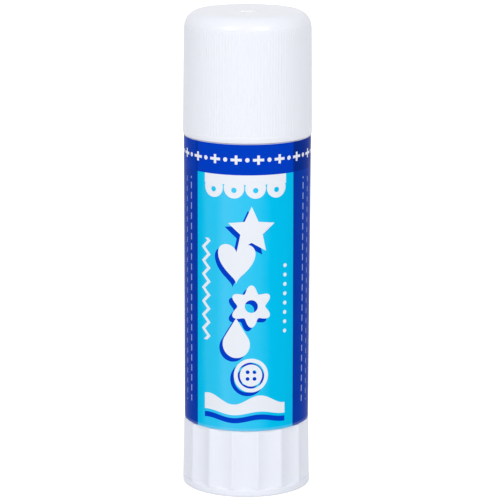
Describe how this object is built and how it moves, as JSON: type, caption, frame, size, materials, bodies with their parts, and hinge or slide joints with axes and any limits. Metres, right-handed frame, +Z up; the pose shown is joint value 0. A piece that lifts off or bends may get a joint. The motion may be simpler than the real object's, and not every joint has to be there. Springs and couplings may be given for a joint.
{
  "type": "glue stick",
  "caption": "Twist-up glue stick with a ribbed pull-off cap, a printed film label, a fluted turning base and a screw that raises the glue.",
  "frame": {"origin": "centre of the foot, on the surface that the stick stands on", "axes": "+Z up along the stick's axis, -Y towards the front of the label"},
  "size_m": [0.0298, 0.0298, 0.1115],
  "materials": {
    "base_knob": "satin",
    "lead_screw": "satin",
    "screw_gasket": "matte",
    "barrel": "satin",
    "label_sleeve": "gloss",
    "glue_carrier": "satin",
    "glue_core": "satin",
    "cap_seal_liner": "satin",
    "cap_shell": "satin"
  },
  "bodies": {
    "barrel": {"barrel": "barrel", "label_sleeve": "label_sleeve", "screw_gasket": "screw_gasket"},
    "base": {"base_knob": "base_knob", "lead_screw": "lead_screw"},
    "glue": {"glue_carrier": "glue_carrier", "glue_core": "glue_core"},
    "cap": {"cap_shell": "cap_shell", "cap_seal_liner": "cap_seal_liner"}
  },
  "joints": [
    {"name": "base_turn", "type": "hinge", "parent": "barrel", "child": "base", "pos_m": [0, 0, 0], "axis": [0, 0, 1], "range_deg": [0, 1080]},
    {"name": "glue_lift", "type": "slide", "parent": "barrel", "child": "glue", "axis": [0, 0, 1], "range_m": [0, 0.015]},
    {"name": "cap_pull", "type": "slide", "parent": "barrel", "child": "cap", "axis": [0, 0, 1], "range_m": [0, 0.045]}
  ],
  "couplings": [
    {"joint": "base_turn", "follows": "glue_lift", "rad_per_m": 1256.6}
  ]
}
